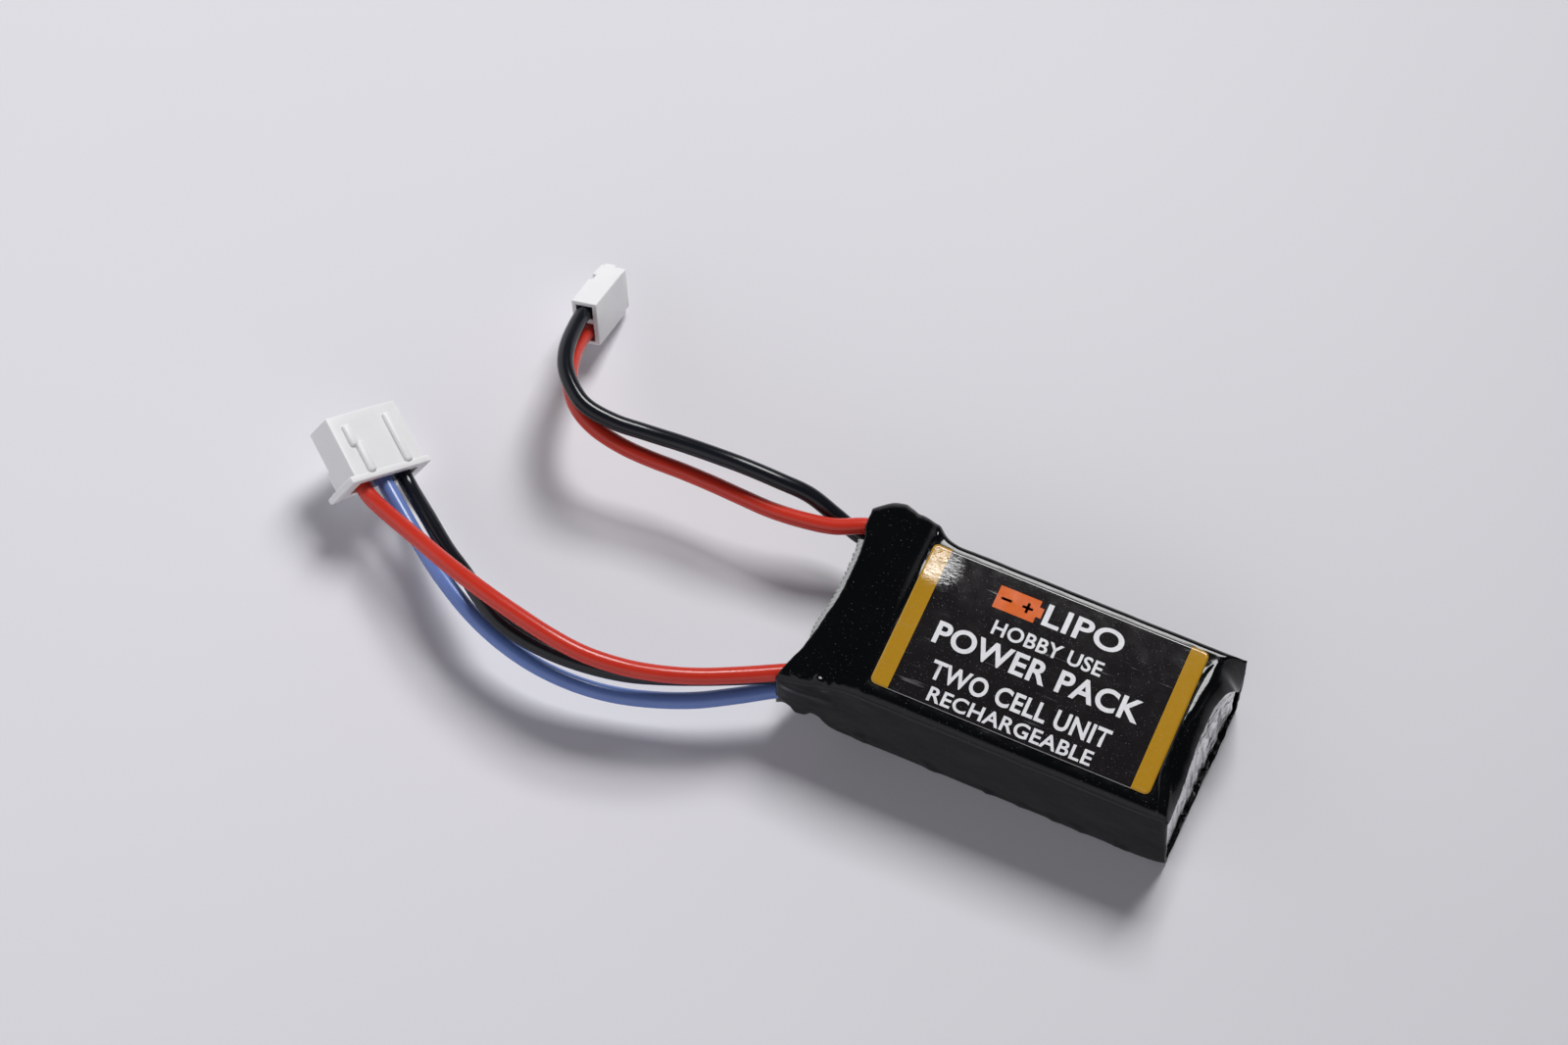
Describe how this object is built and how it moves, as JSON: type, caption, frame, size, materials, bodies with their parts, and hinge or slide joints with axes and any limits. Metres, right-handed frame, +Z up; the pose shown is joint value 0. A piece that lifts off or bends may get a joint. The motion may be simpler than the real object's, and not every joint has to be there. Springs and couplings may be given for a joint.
{
  "type": "lipo battery pack",
  "caption": "Small flat rechargeable pack in glossy black shrink film, with a banded label, an open foil end, a discharge lead and a balance lead with white plugs.",
  "frame": {"origin": "centre of the sleeve's outline, on the surface that the pack lies on", "axes": "+X along the pack from the lead end to the open end; +Y across it towards the discharge lead; +Z up through the label"},
  "size_m": [0.0951, 0.0449, 0.0119],
  "materials": {
    "heat_shrink_film": "glossy black shrink film",
    "label_print": "black print with two gold bands under a clear glossy film",
    "pouch_foil": "creased silver pouch foil",
    "bonding_tape": "matt double-sided tape",
    "tab_sealant": "translucent sealing strip",
    "aluminium_tab": "bare sheet",
    "nickel_tab": "bare nickel-plated sheet",
    "board_laminate": "green glass-fibre laminate",
    "solder": "bright solder",
    "insulating_paper": "pale ribbed insulating paper",
    "white_nylon": "satin white moulding",
    "tinned_brass": "tinned sheet brass",
    "red_insulation": "glossy soft red insulation",
    "blue_insulation": "glossy soft blue insulation",
    "black_insulation": "glossy soft black insulation"
  },
  "bodies": {
    "root": {"heat_shrink_sleeve": "heat_shrink_film", "label": "label_print", "lower_cell": "pouch_foil", "upper_cell": "pouch_foil", "cell_bonding_tape": "bonding_tape", "lower_cell_tab_positive": "aluminium_tab", "upper_cell_tab_positive": "aluminium_tab", "lower_cell_tab_negative": "nickel_tab", "upper_cell_tab_negative": "nickel_tab", "lower_cell_seal_positive": "tab_sealant", "upper_cell_seal_positive": "tab_sealant", "lower_cell_seal_negative": "tab_sealant", "upper_cell_seal_negative": "tab_sealant", "junction_board": "board_laminate", "end_insulation_strip": "insulating_paper", "balance_plug_housing": "white_nylon", "discharge_plug_housing": "white_nylon", "balance_solder_red": "solder", "balance_wire_red": "red_insulation", "balance_terminal_red": "tinned_brass", "balance_solder_blue": "solder", "balance_wire_blue": "blue_insulation", "balance_terminal_blue": "tinned_brass", "balance_solder_black": "solder", "balance_wire_black": "black_insulation", "balance_terminal_black": "tinned_brass", "discharge_solder_red": "solder", "discharge_wire_red": "red_insulation", "discharge_terminal_red": "tinned_brass", "discharge_solder_black": "solder", "discharge_wire_black": "black_insulation", "discharge_terminal_black": "tinned_brass"}
  },
  "joints": []
}
